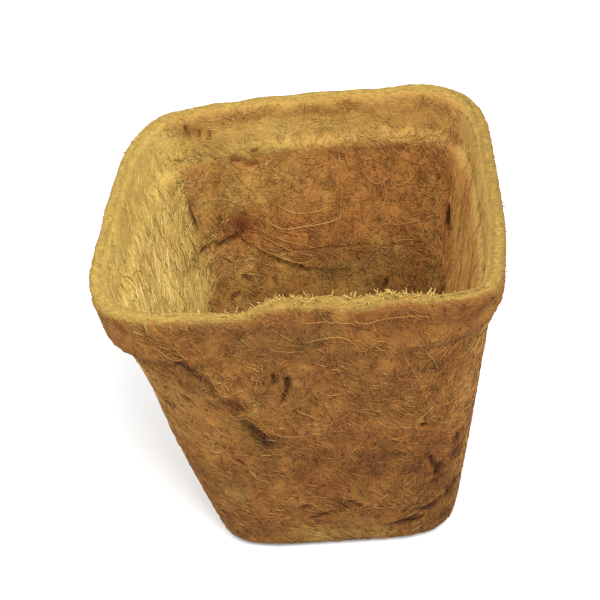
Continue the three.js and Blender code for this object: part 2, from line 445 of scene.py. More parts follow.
def makeFeltFinish():
    material = newFinish("coirFelt", feltFinish)
    tree = material.node_tree
    place = addNode(tree, "ShaderNodeTexCoord", {}).outputs["Object"]
    height = None
    for turn, stretch in feltFinish["lays"]:
        lay = addNode(tree, "ShaderNodeMapping", {"Vector": place, "Rotation": turn, "Scale": stretch})
        noise = {"Vector": lay.outputs["Vector"], "Scale": 1.0, "Detail": feltFinish["detail"]}
        grain = addNode(tree, "ShaderNodeTexNoise", noise).outputs["Fac"]
        if height is None:
            height = grain
            continue
        height = addNode(tree, "ShaderNodeMath", {0: height, 1: grain}, operation="MAXIMUM").outputs[0]
    tone = addNode(tree, "ShaderNodeAttribute", {}, attribute_name="tone")
    parts = addNode(tree, "ShaderNodeSeparateXYZ", {0: tone.outputs["Vector"]})
    # the grain's shade is partly the fibres' own tone and partly painted shade: its low parts, the hollows
    # of its bump, are painted darker
    span = {"Value": height, "From Min": feltFinish["grainLow"], "From Max": feltFinish["grainHigh"],
            "To Min": feltFinish["shadeLow"], "To Max": feltFinish["shadeHigh"]}
    grainShade = addNode(tree, "ShaderNodeMapRange", span).outputs["Result"]
    total = addNode(tree, "ShaderNodeMath", {0: parts.outputs["X"], 1: grainShade})
    addPalette(tree, total.outputs[0], parts.outputs["Y"])
    rough = {"Height": height, "Strength": feltFinish["bumpStrength"], "Distance": feltFinish["bump"]}
    bump = addNode(tree, "ShaderNodeBump", rough)
    tree.links.new(bump.outputs["Normal"], tree.nodes["Principled BSDF"].inputs["Normal"])
    return material


coirFibre = makeFibreFinish()
coirFelt = makeFeltFinish()


# Marks: open places and slits in the felt, by angle, height, lean, length, width and depth
feltMarks = {
    "outer": [
        (-118.1, 82.2, -77, 8, 2.8, 1.0),  # along the front lap, from its top
        (-115.0, 76.0, -80, 7, 1.7, 0.9),
        (-111.3, 66.8, -59, 6.5, 3.4, 0.9),
        (-108.0, 55.5, -72, 14, 3.2, 1.0),
        (-107.2, 53.5, -70, 8, 2.6, 0.7),
        (-124.5, 67.5, -45, 3, 1.6, 0.8),
        (-117.0, 42.3, -55, 4, 1.2, 0.7),
        (-97.9, 76.4, 85, 4.5, 1.4, 0.7),  # beside the middle of the front wall
        (-94.4, 74.4, 80, 5.4, 1.3, 1.5),
        (-96.3, 69.3, 68, 5.0, 1.1, 1.2),
        (-101.0, 20.2, 30, 4, 1.4, 1.0),  # over the turned-up edge of the floor
        (-95.0, 15.5, 25, 6, 1.6, 1.2),
        (-83.2, 19.6, -50, 6.5, 1.3, 0.9),
        (-79.6, 20.2, -42, 5.5, 1.3, 0.9),
        (-61.0, 9.6, 18, 9, 2.0, 1.1),
        (-58.0, 10.6, 8, 4.5, 2.4, 1.1),
        (-53.8, 14.6, 20, 4, 1.7, 0.8),
        (-50.2, 16.0, 30, 3.5, 1.7, 0.8),
        (-44.6, 18.0, 60, 6, 3.2, 1.1),  # up the front right corner
        (-53.2, 35.5, -70, 7, 1.7, 0.8),
        (-51.0, 31.0, 80, 6, 1.6, 0.8),
        (-44.4, 40.0, 85, 6, 3.2, 1.0),
        (-43.8, 33.5, 85, 4.5, 3.2, 0.9),
        (-45.0, 46.0, 85, 3.6, 2.2, 0.8),
        (-56.5, 51.8, 10, 2.2, 1.6, 0.9),
    ],
    "inner": [
        (136.4, 69.2, 88, 9, 1.5, 1.1),  # joint in the back left corner
        (116.9, 81.4, -20, 3.8, 1.7, 0.6),  # under the ledge
        (113.2, 79.4, -25, 3.8, 1.9, 0.6),
        (110.3, 83.2, 0, 2.2, 1.2, 0.6),
        (133.9, 85.0, -20, 4, 1.4, 0.8),
        (58.7, 81.0, -5, 4, 1.4, 0.3),
        (128.6, 93.4, 88, 5, 1.2, 0.5),  # folds in the back left corner of the collar
        (125.3, 90.8, 80, 4.6, 1.4, 0.5),
        (122.5, 89.8, 78, 4.2, 1.2, 0.5),
        (37.9, 64.2, 92, 6.5, 2.2, 2.1),  # slit in the back right corner
        (135.0, 58.0, 5, 6, 1.5, 0.8),  # under the lower edge of the back panel
        (127.6, 57.0, 12, 8, 1.7, 1.0),
        (109.5, 47.3, -35, 7, 1.5, 0.3),
        (100.6, 44.2, -12, 9, 1.5, 0.4),
        (123.8, 43.4, -55, 3.6, 1.4, 0.9),  # low on the back wall
        (129.8, 38.6, 10, 3.6, 1.6, 0.8),
        (113.3, 41.2, 85, 3.4, 1.0, 0.5),
        (64.0, 37.0, 75, 4.6, 1.2, 0.8),
        (44.5, 74.0, 75, 3.4, 1.2, 0.4),
    ],
    # painted shade: the felt and the fibres over a mark are darkened by its depth, for the shade in its pit
    "paintedPitShade": 0.36 / mm,  # by the depth of the mark
    "bridged": 0.15,  # share of the fibres that still lie across a mark
    "open": 0.35,  # weight from which a fibre lies in a mark
    "thick": 5 * mm,  # how far a mark reaches through the wall
}


def markFrame(side, angle, height):  # a mark's middle, and the ways right, up and out, seen from in front
    spot = wallSpot(angle, height)
    _, up, out = (vectors[0] for vectors in wallSlopes(side, *spot))
    up = unit(up)
    return wallPoint(side, *spot)[0], np.cross(up, out), up, out


def leaning(right, up, turn):  # the ways along and across a mark that leans
    return right * math.cos(turn) + up * math.sin(turn), up * math.cos(turn) - right * math.sin(turn)


def markWeights(side, places):  # for each mark, how far each place lies in it, and its depth
    for angle, height, lean, long, wide, deep in feltMarks[side]:
        middle, right, up, out = markFrame(side, angle, height)
        along, across = leaning(right, up, math.radians(lean))
        apart = places - middle
        lengthwise = apart @ along / (long / 2 * mm)
        sideways = apart @ across / (wide / 2 * mm)
        near = np.abs(apart @ out) < feltMarks["thick"]
        yield np.exp(-lengthwise ** 4 - sideways ** 2) * near, deep * mm


# Laps: the free edge of the front panel and the lower edge of the back panel stand a little proud
frontLap = {
    "topX": -32 * mm, "run": 26 * mm, "bulge": 0.6, "lowZ": 17.2 * mm, "rise": 1.5 * mm, "reach": 5 * mm,
    "starts": (38 * mm, 58 * mm), "ends": (84 * mm, 91 * mm),  # heights over which it rises and dies out
}
backLap = {
    "places": [(-36, 58), (-25, 57.5), (-13.5, 47.5), (-3, 44), (12, 43), (40, 47)],  # across and up, in mm
    "rise": 0.4 * mm, "reach": 5 * mm, "ends": (-5 * mm, 20 * mm),
}


def lapRise(side, owner, places):
    x, y, z = places[..., 0], places[..., 1], places[..., 2]
    if side == "outer":
        drop = (potHeight - z) / (potHeight - frontLap["lowZ"])
        edge = frontLap["topX"] + frontLap["run"] * (drop + frontLap["bulge"] * drop * (1 - drop))
        ends = fade(z, *frontLap["starts"]) * (1 - fade(z, *frontLap["ends"]))
        own = (owner == nodeNames.index("front_panel")) & (y < 0)
        return own * ends * frontLap["rise"] * np.exp(-np.abs(x - edge) / frontLap["reach"])
    edgeX, edgeZ = np.array(backLap["places"]).T * mm
    above = z - np.interp(x, edgeX, edgeZ)
    own = (y > 0) * (above > 0)
    ends = 1 - fade(x, *backLap["ends"])
    return own * ends * backLap["rise"] * np.exp(-np.abs(above) / backLap["reach"])


# Rim: the cut edge is crowned and waves a little, and so does the felt under it
rimWave = {"height": 0.32 * mm, "turns": (5, 9, 14, 23), "start": 88 * mm,
           "outerDrop": 1.0 * mm, "innerDrop": 1.4 * mm, "crownEnd": 1.2}
frontRim = {  # mm that the front rim stands over its mean, by angle, and the angles where it starts and ends
    "rise": [(-180, 0), (-112, 0), (-107, -0.7), (-102, -0.7), (-98.5, 1.0), (-95, 2.3), (-91, 2.7),
             (-88, 2.6), (-85, 2.0), (-80, 2.2), (-76, 1.5), (-71, 1.0), (-65, 1.6), (-62, 1.0), (-58, -0.2),
             (-54, -1.2), (-48, -1.4), (-44, -2.0), (-38, -2.1), (-32, -1.2), (-26, 0), (180, 0)],
    "starts": (-116, -110), "ends": (-26, -20),
}
# the front right corner stands out
cornerFlare = {"angle": -45, "reach": 8, "start": 86 * mm, "out": 2.6 * mm}
rimStarts = dice.uniform(0, 2 * math.pi, len(rimWave["turns"]))


def rimShift(places):  # how far the rim's crown, waves and corner move each place
    angle, radius = angleOf(places), np.hypot(places[..., 0], places[..., 1])
    degrees, height = np.degrees(angle), places[..., 2]
    top = np.full(angle.shape, chart["top"])
    outer, inner = wallRadius("outer", angle, top), wallRadius("inner", angle, top)
    across = ((2 * radius - outer - inner) / (outer - inner)).clip(-rimWave["crownEnd"], rimWave["crownEnd"])
    drop = np.where(across > 0, rimWave["outerDrop"] * across ** 3, rimWave["innerDrop"] * across ** 2)
    waves = [np.sin(turns * angle + start) for turns, start in zip(rimWave["turns"], rimStarts)]
    rise = rimWave["height"] * np.sum(waves, axis=0) / math.sqrt(len(waves))
    front = byAngle([(turn, over * mm) for turn, over in frontRim["rise"]], angle)
    inFront = fade(degrees, *frontRim["starts"]) * (1 - fade(degrees, *frontRim["ends"]))
    rise = rise + inFront * (front - rise)
    lift = (rise - drop) * fade(height, rimWave["start"], potHeight)
    turn = (degrees - cornerFlare["angle"]) / cornerFlare["reach"]
    out = cornerFlare["out"] * np.exp(-turn ** 2) * fade(height, cornerFlare["start"], potHeight)
    return np.stack([out * np.cos(angle), out * np.sin(angle), lift], -1)


# Places where the outer felt is pressed in or out: angle, height, width and height of the place, how far
feltPresses = [
    (-135, 63, 15, 15, -1.3),  # waist under the front left corner
    (-35, 80.5, 15, 4.5, 1.6),  # low shoulder on the front right corner
]


def pressRise(places):
    rise = 0
    for angle, height, wide, tall, push in feltPresses:
        rise = rise + push * mm * patchWeight("outer", places, angle, height, wide, tall)
    return rise


# Shoulder: under the middle of the front collar the step is filled with felt
shoulderFill = {
    "depth": 1.1 * mm, "start": 64 * mm, "full": 80 * mm, "end": 85.5 * mm,
    "middle": 4 * mm, "reach": 24 * mm, "fade": 42 * mm, "front": -30 * mm,
}


def shoulderRise(places):
    x, y, z = places[..., 0], places[..., 1], places[..., 2]
    height = fade(z, shoulderFill["start"], shoulderFill["full"])
    height = height * (1 - fade(z, shoulderFill["full"], shoulderFill["end"]))
    middle = 1 - fade(np.abs(x - shoulderFill["middle"]), shoulderFill["reach"], shoulderFill["fade"])
    return shoulderFill["depth"] * height * middle * (y < shoulderFill["front"])


# Ledge: inside, the foot of the collar stands out along the back
ledge = {"height": 83.4 * mm, "out": 0.45 * mm, "tall": 1.6 * mm, "ragged": 0.5, "tatters": 2.5 * mm,
         "back": (36 * mm, 43 * mm)}


def ledgeRise(places):
    ridge = np.exp(-((places[..., 2] - ledge["height"]) / ledge["tall"]) ** 2)
    ragged = 1 + ledge["ragged"] * mottle(places, ledge["tatters"], 2)
    return ledge["out"] * ragged * ridge * fade(places[..., 1], *ledge["back"])


def wallRise(side, owner, places):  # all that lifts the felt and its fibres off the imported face
    rise = lapRise(side, owner, places)
    return rise + (ledgeRise(places) if side == "inner" else shoulderRise(places) + pressRise(places))


# Felt bodies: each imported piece, remeshed and pressed out of flat
feltBody = {
    "merge": 0.01 * mm, "grid": 0.70 * mm, "lumpSize": 5 * mm, "lumpHeight": 0.6 * mm,
    "grainSize": 1.1 * mm, "grainHeight": 0.35 * mm, "swell": 0.18 * mm, "foot": 0.12 * mm,
    "closing": 0.7 * mm, "filled": 0.8 * mm,  # how far felt grows over its joints and fills their edges
    "overFloor": (7 * mm, 10 * mm), "underRim": (92 * mm, 95 * mm),  # heights between which it does
    "turned": (0.4, 0.8), "endOn": (0.5, 0.8), "edge": (0.15, 0.5),  # slopes of the faces that do
}


def addLumps(piece, name, size, height, swell):
    texture = bpy.data.textures.new(name, "CLOUDS")
    texture.noise_scale = size
    texture.noise_depth = 2
    lumps = piece.modifiers.new(name, "DISPLACE")
    lumps.texture = texture
    lumps.texture_coords = "LOCAL"
    lumps.strength = height
    lumps.mid_level = 0.5 - swell / height
    applyModifier(piece, lumps)


def readVectors(data, name):
    values = np.zeros(len(data) * 3, np.float32)
    data.foreach_get(name, values)
    return values.reshape(-1, 3).astype(float)


def shapeFelt(piece, name):
    mesh = piece.data
    places, normals = readVectors(mesh.vertices, "co"), readVectors(mesh.vertex_normals, "vector")
    angle, height = angleOf(places), places[:, 2]
    radius = np.hypot(places[:, 0], places[:, 1])
    faces = {side: wallRadius(side, angle, height) for side in walls}
    halfWall = (faces["outer"] + faces["inner"]) / 2
    onOuter = (radius > halfWall) | (height < walls["inner"]["heights"][0] / 2)
    between = fade(height, *feltBody["overFloor"]) * (1 - fade(height, *feltBody["underRim"]))
    tone = np.zeros((len(places), 4))
    moved = places.copy()
    for side, own in (("outer", onOuter), ("inner", ~onOuter)):
        out = wallSlopes(side, angle[own], height[own])[2]
        shade, hue = toneAt(side, places[own])
        push = wallRise(side, nodeNames.index(name), places[own])
        for weight, deep in markWeights(side, places[own]):
            push = push - deep * weight
            # painted shade in the pit of each mark, by its depth
            shade = shade - feltMarks["paintedPitShade"] * deep * weight
        along = np.stack([-np.sin(angle[own]), np.cos(angle[own]), 0 * angle[own]], -1)
        acrossWall = np.abs((normals[own] * out).sum(1))
        alongWall = np.abs((normals[own] * along).sum(1))
        turned = fade(1 - acrossWall, *feltBody["turned"]) * between[own]
        sideways = np.maximum(turned, fade(alongWall, *feltBody["endOn"]))
        edge = fade(1 - acrossWall, *feltBody["edge"]) * between[own]
        below = (faces[side] - radius)[own] * walls[side]["outward"]
        push = push + edge * below.clip(0, feltBody["filled"])
        moved[own] += out * push[:, None] + normals[own] * (feltBody["closing"] * sideways)[:, None]
        onTop = fade(height[own], chart["top"] - feltBody["grid"], chart["top"])
        overRim = np.abs(radius - faces[side])[own] * onTop
        tone[own, 0], tone[own, 1] = rimTone(side, angle[own], height[own] + overRim, shade, hue)
    moved += rimShift(places)
    moved[:, 2] = np.maximum(moved[:, 2], feltBody["foot"])  # the base stands flat, a fibre off the ground
    mesh.vertices.foreach_set("co", moved.astype(np.float32).ravel())
    layer = mesh.color_attributes.new("tone", "FLOAT_COLOR", "POINT")
    layer.data.foreach_set("color", tone.astype(np.float32).ravel())
    mesh.update()


def addFelt(name):
    piece = bpy.data.objects.new(name + "_felt", frame["nodes"][name].data.copy())
    bpy.context.scene.collection.objects.link(piece)
    makeActive(piece)
    bpy.ops.object.mode_set(mode="EDIT")
    bpy.ops.mesh.select_all(action="SELECT")
    bpy.ops.mesh.remove_doubles(threshold=feltBody["merge"])
    bpy.ops.object.mode_set(mode="OBJECT")
    remesh = piece.modifiers.new("mat", "REMESH")
    remesh.mode = "VOXEL"
    remesh.voxel_size = feltBody["grid"]
    applyModifier(piece, remesh)
    addLumps(piece, "lumps", feltBody["lumpSize"], feltBody["lumpHeight"], feltBody["swell"])
    addLumps(piece, "grain", feltBody["grainSize"], feltBody["grainHeight"], 0)
    shapeFelt(piece, name)
    makeActive(piece)
    bpy.ops.object.shade_smooth()
    piece.data.materials.clear()
    piece.data.materials.append(coirFelt)
    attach(piece, "root")
    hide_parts(name)
    print(piece.name, len(piece.data.polygons), "faces")


for nodeName in nodeNames:
    addFelt(nodeName)


# Fibre: a thin three-sided strand, thinner towards its ends, with its shade and hue on its own map
fibre = {"sides": 3, "tipShare": 0.45, "shadeRun": 0.06, "hueRun": 0.02,
         "shades": (0.04, 0.96), "hues": (0.02, 0.98), "mapEnds": (0.002, 0.998)}


def fibreMesh(name, paths, outs, radii, shade, hue):  # shade and hue of each fibre or each of its points
    count, points = paths.shape[:2]
    shade, hue = (np.broadcast_to(tone.reshape(count, -1), (count, points)) for tone in (shade, hue))
    sides = fibre["sides"]
    along = unit(np.gradient(paths, axis=1))
    across = unit(np.cross(along, outs))
    lift = np.cross(across, along)
    share = np.linspace(0, 1, points)
    taper = fibre["tipShare"] + (1 - fibre["tipShare"]) * np.sqrt(4 * share * (1 - share))
    thick = (radii[:, None] * taper)[..., None]
    turns = 2 * math.pi * np.arange(sides) / sides + math.pi / 2
    rings = [paths + thick * (math.cos(turn) * across + math.sin(turn) * lift) for turn in turns]
    corners = np.stack(rings, 2).reshape(-1, 3)

    # one fibre's faces: a quad for each side of each step, then the two ends
    steps, around = np.meshgrid(np.arange(points - 1), np.arange(sides), indexing="ij")
    ring, side = steps.ravel() * sides, around.ravel()
    after = (side + 1) % sides
    quads = np.stack([ring + side, ring + after, ring + sides + after, ring + sides + side], 1)
    ends = np.concatenate([np.arange(sides)[::-1], np.arange(sides) + (points - 1) * sides])
    single = np.concatenate([quads.ravel(), ends])
    starts = np.concatenate([4 * np.arange(len(quads)), 4 * len(quads) + sides * np.arange(2)])
    runShare = share[single // sides] - 0.5
    quadRound = np.stack([side, side + 1, side + 1, side], 1).ravel()
    roundShare = np.concatenate([quadRound, ends % sides]) / sides - 0.5

    loops = (single + points * sides * np.arange(count)[:, None]).ravel()
    loopStarts = (starts + len(single) * np.arange(count)[:, None]).ravel()
    shadeMap = shade[:, single // sides] + fibre["shadeRun"] * runShare
    hueMap = hue[:, single // sides] + fibre["hueRun"] * roundShare
    ownMap = np.stack([shadeMap, hueMap], -1)

    mesh = bpy.data.meshes.new(name)
    mesh.vertices.add(len(corners))
    mesh.vertices.foreach_set("co", corners.astype(np.float32).ravel())
    mesh.loops.add(len(loops))
    mesh.loops.foreach_set("vertex_index", loops.astype(np.int32))
    mesh.polygons.add(len(loopStarts))
    mesh.polygons.foreach_set("loop_start", loopStarts.astype(np.int32))
    mesh.polygons.foreach_set("use_smooth", np.ones(len(loopStarts), bool))
    mesh.update(calc_edges=True)
    layer = mesh.uv_layers.new(name="OFBake")
    layer.uv.foreach_set("vector", ownMap.clip(*fibre["mapEnds"]).astype(np.float32).ravel())
    return mesh


def addFibres(name, slotName, paths, outs, radii, shade, hue):
    mesh = fibreMesh(name, paths, outs, radii, shade.clip(*fibre["shades"]), hue.clip(*fibre["hues"]))
    piece = bpy.data.objects.new(name, mesh)
    bpy.context.scene.collection.objects.link(piece)
    mesh.materials.append(coirFibre)
    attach(piece, "root")
    print(name, len(paths), "fibres,", len(mesh.polygons), "faces")


def addByPanel(kind, owner, *fibres):  # each panel takes the fibres that start on it
    for index, name in enumerate(nodeNames):
        own = owner == index
        if own.any():
            addFibres(f"{name}_{kind}", slotOf[name], *(values[own] for values in fibres))


# Fibre mats: how the fibres lie on each panel, and the layers that make the mat
matLie = {  # heading from level and spread, in degrees
    "outer": {"base_blank": (92, 40), "front_panel": (98, 34), "back_panel": (92, 34),
              "left_panel": (104, 34), "right_panel": (88, 34)},
    "inner": {"base_blank": (90, 48), "front_panel": (90, 48), "back_panel": (90, 48),
              "left_panel": (118, 29), "right_panel": (90, 14)},
}
matLayers = {
    "felting": {
        "outer": 26500, "inner": 23000, "points": 4, "length": 4.4 * mm, "radius": (0.10 * mm, 0.15 * mm),
        "curl": 8, "wobble": 13, "bed": (0.0 * mm, 0.36 * mm), "arch": 0.12 * mm,
        "shade": {"outer": 0.0, "inner": 0.0}, "shadeSpread": 0.075,
    },
    "strands": {
        "outer": 1200, "inner": 1200, "points": 7, "length": 8 * mm, "radius": (0.08 * mm, 0.12 * mm),
        "curl": 5, "wobble": 8, "bed": (0.12 * mm, 0.42 * mm), "arch": 0.2 * mm,
        "shade": {"outer": 0.01, "inner": 0.03}, "shadeSpread": 0.06,
    },
    # flecks: short dark fibres, partly dark bits of husk and partly painted shade for the pits between the
    # fibres
    "flecks": {
        "outer": 4600, "inner": 2600, "points": 4, "length": 1.0 * mm, "radius": (0.12 * mm, 0.21 * mm),
        "heights": (5 * mm, 95 * mm), "curl": 0, "wobble": 8, "bed": (0.18 * mm, 0.40 * mm),
        "arch": 0.05 * mm, "shade": {"outer": -0.30, "inner": -0.16}, "shadeSpread": 0.06, "combed": 0.15,
    },
    "streaks": {
        "inner": 1600, "points": 5, "length": 3.0 * mm, "radius": (0.08 * mm, 0.13 * mm),
        "angles": (126, 234), "heights": (46 * mm, 96 * mm), "curl": 30, "wobble": 40,
        "bed": (0.25 * mm, 0.5 * mm), "arch": 0.2 * mm, "shade": {"inner": 0.02}, "shadeSpread": 0.19,
        "combed": 1.0,
    },
    # joints: fibres over the joints; on the inner side painted a little paler, painted light against the
    # shade in the joint's groove
    "joints": {
        "outer": 2000, "inner": 4800, "points": 4, "length": 3.0 * mm, "radius": (0.10 * mm, 0.15 * mm),
        "reach": 1.3 * mm, "tries": 60, "curl": 9, "wobble": 13, "bed": (0.14 * mm, 0.44 * mm),
        "arch": 0.1 * mm, "shade": {"outer": 0.0, "inner": 0.03}, "shadeSpread": 0.05,
    },
    "ledgeFuzz": {
        "inner": 420, "points": 4, "length": 2.6 * mm, "radius": (0.09 * mm, 0.13 * mm),
        "angles": (44, 82), "heights": (82.3 * mm, 86 * mm), "curl": 9, "wobble": 14,
        "bed": (0.25 * mm, 0.6 * mm), "arch": 0.5 * mm, "shade": {"inner": 0.06}, "shadeSpread": 0.06,
    },
    "tries": 3,  # places tried for each fibre
    "lengthSpread": 0.3,
    "hueSpread": 0.065,
    "dip": 0.4,  # how far a fibre's ends dip into the felt, by its arch
    "collar": {"start": 82 * mm, "end": 86 * mm, "calm": {"outer": 0.3, "inner": 0.5}},  # pressed smoother
    "swirl": {"size": 8 * mm, "share": 0.7},  # fibres lie in swirls of about this size
    "loose": 1.0,  # and turn this far out of them
    "most": 1.5,  # but no further than this share of their spread
    "crossing": 0.7,  # share of fibres that run over from one panel to the next
    "turnBack": 0.5,  # how unevenly the others turn back at the joint
    "overJoint": (90, 90),  # heading and spread of the fibres that hide a joint
    # panels whose fibres lie nearly one way
    "combed": {"spread": 30, "loose": 0.6, "longer": 1.9, "curl": 0.3, "calm": 0.85, "sink": 0.14 * mm},
    "checks": 4,  # places between two points of a fibre that are looked at for marks
}


def nearJoint(side, angle, height, reach):  # another panel begins within reach of the place
    owner = wallOwner(side, angle, height)
    turn = reach / wallRadius(side, angle, height)
    ways = ((1, 0), (-1, 0), (0, 1), (0, -1))
    around = [wallOwner(side, angle + turn * x, height + reach * z) for x, z in ways]
    return np.any(np.array(around) != owner, axis=0)


def scatter(side, layer):
    count = layer[side]
    tries = layer.get("tries", matLayers["tries"]) * count
    angle = np.radians(dice.uniform(*layer.get("angles", (-180, 180)), tries))
    height = dice.uniform(*layer.get("heights", wallEnds(side)), tries)
    along, up, _ = wallSlopes(side, angle, height)
    area = np.linalg.norm(np.cross(along, up), axis=-1)
    kept = dice.uniform(0, area.max(), len(area)) < area
    if "reach" in layer:
        kept &= nearJoint(side, angle, height, layer["reach"])
    return angle[kept][:count], height[kept][:count]


def walkFibres(side, angle, height, heading, layer, length, owner, combed):
    low, high = wallEnds(side)
    high = np.where(combed, chart["top"], high)
    stride = length / (layer["points"] - 1)
    calm = np.where(combed, matLayers["combed"]["curl"], 1)
    curl = np.radians(layer["curl"]) / mm * dice.normal(size=len(angle)) * calm
    wobble = np.radians(layer["wobble"]) * calm
    free = dice.uniform(size=len(angle)) < (1 if "reach" in layer else matLayers["crossing"])
    angles, heights = [angle], [height]
    for _ in range(layer["points"] - 1):
        along, up, _ = wallSlopes(side, angle, height)
        turn = stride / np.linalg.norm(along, axis=-1)
        rise = stride / np.linalg.norm(up, axis=-1)
        ahead = height + rise * np.sin(heading)
        heading = np.where((ahead > high) | (ahead < low), -heading, heading)
        ahead = np.clip(height + rise * np.sin(heading), low, high)
        strayed = (wallOwner(side, angle + turn * np.cos(heading), ahead) != owner) & ~free
        back = heading + math.pi + dice.normal(0, matLayers["turnBack"], len(heading))
        heading = np.where(strayed, back, heading)
        angle = angle + turn * np.cos(heading)
        height = np.clip(height + rise * np.sin(heading), low, high)
        heading = heading + curl * stride + wobble * dice.normal(size=len(heading))
        angles.append(angle)
        heights.append(height)
    return np.stack(angles, 1), np.stack(heights, 1)


def layMat(layerName, side):
    layer, combing = matLayers[layerName], matLayers["combed"]
    angle, height = scatter(side, layer)
    count, points = len(angle), layer["points"]
    owner = wallOwner(side, angle, height)
    lies = [matLayers["overJoint"] if "reach" in layer else matLie[side][name] for name in nodeNames]
    lean, spread = np.array(lies)[owner].T
    combed = spread < combing["spread"]
    height = np.where(combed, np.minimum(height, chart["top"]), height)
    swirl, most = matLayers["swirl"], matLayers["most"]
    swirls = swirl["share"] * mottle(wallPoint(side, angle, height), swirl["size"], 2)
    swirls = swirls + matLayers["loose"] * dice.normal(size=count)
    loose = np.where(combed, dice.normal(0, combing["loose"], count), swirls.clip(-most, most))
    heading = np.radians(lean + spread * loose + 180 * dice.integers(0, 2, count))
    length = layer["length"] * dice.lognormal(0, matLayers["lengthSpread"], count)
    length = length * np.where(combed, combing["longer"], 1)
    angles, heights = walkFibres(side, angle, height, heading, layer, length, owner, combed)
    paths = wallPoint(side, angles, heights)
    outs = wallSlopes(side, angles, heights)[2]
    share = np.linspace(0, 1, points)
    collar = matLayers["collar"]
    calm = 1 - collar["calm"][side] * fade(height, collar["start"], collar["end"])
    arch = calm * np.abs(dice.normal(0, layer["arch"], count))
    bed = calm * dice.uniform(*layer["bed"], count)
    lift = bed[:, None] + arch[:, None] * (4 * share * (1 - share) - matLayers["dip"])
    lift = lift + wallRise(side, owner[:, None], paths) - (combing["sink"] * combed)[:, None]
    steps = np.arange(matLayers["checks"]) / matLayers["checks"]
    between = [paths[:, :-1] * (1 - step) + paths[:, 1:] * step for step in steps]
    inMark = np.zeros(count, bool)
    for weight, _ in markWeights(side, np.concatenate(between, 1)):
        inMark |= weight.max(1) > feltMarks["open"]
    # painted shade on the fibres over a mark, by its depth
    paintedPitShade = sum(deep * weight for weight, deep in markWeights(side, paths)) * feltMarks["paintedPitShade"]
    paths = paths + outs * lift[..., None] + rimShift(paths)
    radii = dice.uniform(*layer["radius"], count)
    shade, hue = toneAt(side, paths[:, points // 2])
    ragged = rimGold["spread"] * dice.normal(size=(count, 1))
    shade, hue = rimTone(side, angles, heights + ragged, shade[:, None], hue[:, None])
    calm = calm * np.where(combed, layer.get("combed", combing["calm"]), 1)
    own = calm * (layer["shade"][side] + layer["shadeSpread"] * dice.normal(size=count))
    shade = shade + own[:, None] - paintedPitShade
    hue = hue + matLayers["hueSpread"] * dice.normal(size=(count, 1))
    kept = ~inMark | (dice.uniform(size=count) < feltMarks["bridged"])
    addByPanel(f"{side}_{layerName}", np.where(kept, owner, -1), paths, outs, radii, shade, hue)


for layerName in ("felting", "strands", "flecks", "joints"):
    for side in ("outer", "inner"):
        layMat(layerName, side)
layMat("streaks", "inner")
layMat("ledgeFuzz", "inner")


# Crevices: dark matted fibres at the bottom of each mark, along it; their darkness is painted shade,
# standing in for the shade in the pit
crevices = {
    "points": 5, "radius": (0.10 * mm, 0.22 * mm), "pitch": 0.4 * mm, "sink": 0.3, "splay": 14,
    "rows": 3, "filled": 0.9,  # fewest rows of fibres in a mark, and the share of its width that they fill
    "reach": (0.4, 0.95), "slide": 0.15,  # by the length of the mark
    "scatter": 0.2 * mm, "waver": 0.12 * mm,
    "shade": {"outer": -0.28, "inner": -0.18}, "shadeSpread": 0.06, "hue": -0.12, "hueSpread": 0.05,
}


def layCrevices(side):
    paths, outs, owners = [], [], []
    points = crevices["points"]
    share = np.linspace(-0.5, 0.5, points)
    for angle, height, lean, long, wide, deep in feltMarks[side]:
        middle, right, up, out = markFrame(side, angle, height)
        owner = wallOwner(side, *wallSpot(angle, height))[0]
        rows = max(crevices["rows"], round(crevices["filled"] * wide * mm / crevices["pitch"]))
        for row in range(rows):
            turn = math.radians(lean + crevices["splay"] * dice.normal())
            along, across = leaning(right, up, turn)
            off = (row - (rows - 1) / 2) * crevices["pitch"] + crevices["scatter"] * dice.normal()
            reach = long * mm * dice.uniform(*crevices["reach"])
            slide = crevices["slide"] * long * mm * dice.normal()
            path = middle + (share * reach + slide)[:, None] * along
            path = path + (off + crevices["waver"] * dice.normal(size=points))[:, None] * across
            lift = wallRise(side, owner, path) - crevices["sink"] * deep * mm
            paths.append(wallPoint(side, angleOf(path), path[:, 2]) + out * lift[:, None])
            outs.append(np.broadcast_to(out, path.shape))
            owners.append(owner)
    paths, outs = np.stack(paths), np.stack(outs)
    shade, hue = toneAt(side, paths[:, points // 2])
    shade = shade + crevices["shade"][side] + crevices["shadeSpread"] * dice.normal(size=len(shade))
    hue = hue + crevices["hue"] + crevices["hueSpread"] * dice.normal(size=len(hue))
    radii = dice.uniform(*crevices["radius"], len(paths))
    addByPanel(f"{side}_crevices", np.array(owners), paths, outs, radii, shade, hue)


for side in ("outer", "inner"):
    layCrevices(side)


# Floor mats: fibres on the floor inside and on the underside
floorMats = {
    "floor": {"height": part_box("base_blank")[0].z + 3.75 * mm, "facing": 1, "reach": 31.0 * mm,
              "count": 2600, "tone": (0.48, 0.55), "bed": 0.45 * mm, "climb": 1.3 * mm},
    "underside": {"height": 0.11 * mm, "facing": -1, "reach": 31.5 * mm,
                  "count": 1300, "tone": (0.45, 0.5), "bed": 0, "climb": 0},
    "points": 4, "length": 6 * mm, "lengthSpread": 0.3, "radius": (0.09 * mm, 0.12 * mm), "wander": 0.2,
    "squareness": 5, "ragged": (0.84, 1.04), "shadeSpread": 0.09, "hueSpread": 0.1,
    "edge": (0.9, 1.04),  # share of the reach over which the floor turns up to the walls
}


def squareSpan(places):  # distance from the middle, on a square with round corners
    power = floorMats["squareness"]
    return (np.abs(places) ** power).sum(-1) ** (1 / power)


